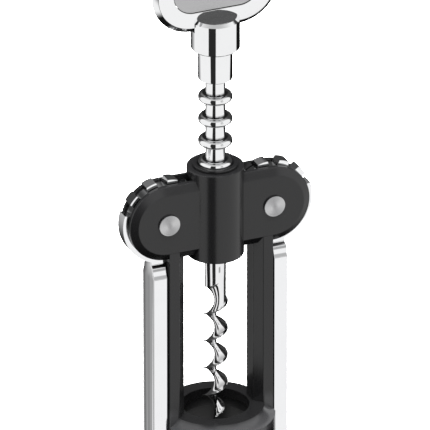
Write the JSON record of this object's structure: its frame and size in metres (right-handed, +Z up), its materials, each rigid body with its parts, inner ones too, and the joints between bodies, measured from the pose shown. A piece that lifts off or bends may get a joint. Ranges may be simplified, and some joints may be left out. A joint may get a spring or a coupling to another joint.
{
  "type": "lever corkscrew",
  "caption": "Winged lever corkscrew with two geared lever arms, a ringed rack, a ring handle, an open worm and a bottle collar.",
  "frame": {"origin": "middle of the collar's foot, on the plane that the corkscrew stands on", "axes": "+Z up along the worm, X across the two levers, Y from front to back"},
  "size_m": [0.0732, 0.0432, 0.2069],
  "materials": {
    "frame_black": "satin matte black moulding",
    "bush_black": "smooth black moulding",
    "liner_black": "smooth dark moulding",
    "pin_satin": "spun satin face",
    "white_nylon": "natural nylon",
    "lever_chrome": "polished chrome plate",
    "rack_chrome": "polished chrome plate",
    "washer_steel": "plain steel",
    "spindle_steel": "turned steel",
    "worm_chrome": "polished steel",
    "handle_chrome": "polished chrome plate",
    "screw_black": "black oxide",
    "inlay_grey": "fine brushed satin"
  },
  "bodies": {
    "frame": {"frame_body": "frame_black", "upper_guide_bush": "bush_black", "lower_guide_bush": "bush_black", "bottle_seat_liner": "liner_black", "left_pivot_pin": "pin_satin", "right_pivot_pin": "pin_satin", "left_pin_cap": "pin_satin", "right_pin_cap": "pin_satin", "left_lever_washers": "white_nylon", "right_lever_washers": "white_nylon"},
    "rack": {"rack_sleeve": "rack_chrome", "upper_thrust_washer": "washer_steel", "lower_thrust_washer": "washer_steel"},
    "screw": {"spindle": "spindle_steel", "worm": "worm_chrome", "handle_collar": "handle_chrome", "collar_grub_screw": "screw_black", "handle_ring": "handle_chrome", "front_inlay": "inlay_grey", "back_inlay": "inlay_grey"},
    "left_arm": {"left_lever": "lever_chrome", "left_lever_bush": "white_nylon"},
    "right_arm": {"right_lever": "lever_chrome", "right_lever_bush": "white_nylon"}
  },
  "joints": [
    {"name": "rack_slide", "type": "slide", "parent": "frame", "child": "rack", "axis": [0, 0, 1], "range_m": [-0.033, 0]},
    {"name": "screw_spin", "type": "hinge", "parent": "rack", "child": "screw", "pos_m": [0, 0, 0.168], "axis": [0, 0, 1], "continuous": true},
    {"name": "left_arm_swing", "type": "hinge", "parent": "frame", "child": "left_arm", "pos_m": [-0.0203, 0, 0.104], "axis": [0, 1, 0], "range_deg": [0, 114]},
    {"name": "right_arm_swing", "type": "hinge", "parent": "frame", "child": "right_arm", "pos_m": [0.0203, 0, 0.104], "axis": [0, 1, 0], "range_deg": [-114, 0]}
  ],
  "couplings": [
    {"joint": "left_arm_swing", "follows": "rack_slide", "rad_per_m": -60.184},
    {"joint": "right_arm_swing", "follows": "rack_slide", "rad_per_m": 60.184}
  ]
}
